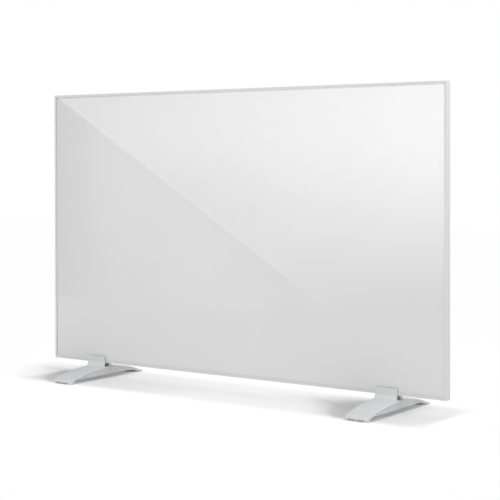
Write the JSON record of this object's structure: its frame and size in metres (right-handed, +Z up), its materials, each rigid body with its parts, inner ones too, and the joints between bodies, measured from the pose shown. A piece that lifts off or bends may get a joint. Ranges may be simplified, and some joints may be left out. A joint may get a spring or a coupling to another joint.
{
  "type": "infrared panel heater",
  "caption": "Free-standing flat infrared heater: a white glass panel in a slim metal frame, held upright by clamp feet with low arched legs.",
  "frame": {"origin": "on the floor, under the middle of the panel's thickness and midway between its ends", "axes": "+X along the panel, to the right as seen from the front; +Y from front to back, the glass faces -Y; +Z up"},
  "size_m": [1, 0.247, 0.634],
  "materials": {
    "frame_aluminium": "satin",
    "white_glass": "gloss",
    "foot_plastic": "satin",
    "black_rubber": "matte",
    "steel_sheet": "satin",
    "zinc_screws": "satin",
    "die_cast_keys": "matte",
    "box_plastic": "satin",
    "black_plastic": "satin",
    "brass_parts": "satin",
    "copper_bars": "satin",
    "amber_film": "gloss",
    "foil": "polished",
    "fibre_board": "matte",
    "grey_plastic": "satin",
    "brown_sheath": "satin",
    "blue_sheath": "satin",
    "green_yellow_sheath": "satin"
  },
  "bodies": {
    "heater": {"box_base": "box_plastic", "box_lid": "box_plastic", "box_rivets": "zinc_screws", "bus_bars": "copper_bars", "clamp_nut_plate_left": "zinc_screws", "clamp_nut_plate_right": "zinc_screws", "clamp_screws_left": "zinc_screws", "clamp_screws_right": "zinc_screws", "corner_keys": "die_cast_keys", "cover_screws": "zinc_screws", "cutout_wire": "brown_sheath", "earth_nut": "brass_parts", "earth_stud": "brass_parts", "earth_wire": "green_yellow_sheath", "foot_base_left": "foot_plastic", "foot_base_right": "foot_plastic", "foot_base_screws_left": "zinc_screws", "foot_base_screws_right": "zinc_screws", "foot_cover_left": "foot_plastic", "foot_cover_right": "foot_plastic", "foot_liner_left": "black_rubber", "foot_liner_right": "black_rubber", "foot_pads_left": "black_rubber", "foot_pads_right": "black_rubber", "frame_bottom": "frame_aluminium", "frame_left": "frame_aluminium", "frame_right": "frame_aluminium", "frame_top": "frame_aluminium", "front_glass": "white_glass", "gland_body": "grey_plastic", "gland_cap": "grey_plastic", "gland_locknut": "grey_plastic", "gland_seal": "black_rubber", "glass_gasket": "black_rubber", "hanging_inserts": "zinc_screws", "heater_wire": "brown_sheath", "heating_film": "amber_film", "insulation_board": "fibre_board", "lead_grommet": "black_rubber", "lid_screws": "zinc_screws", "live_wire": "brown_sheath", "neutral_wire": "blue_sheath", "rear_cover": "steel_sheet", "reflector_foil": "foil", "ring_terminal": "copper_bars", "switch_blades": "brass_parts", "switch_housing": "black_plastic", "switched_wire": "brown_sheath", "terminal_block": "grey_plastic", "terminal_clamps": "brass_parts", "terminal_screws": "zinc_screws", "thermal_cutout": "black_plastic", "tilt_switch": "black_plastic"},
    "rocker": {"switch_rocker": "black_plastic"}
  },
  "joints": [
    {"name": "rocker_pivot", "type": "hinge", "parent": "heater", "child": "rocker", "pos_m": [0.319, 0.0253, 0.124], "axis": [0, -1, 0], "range_deg": [0, 20]}
  ]
}
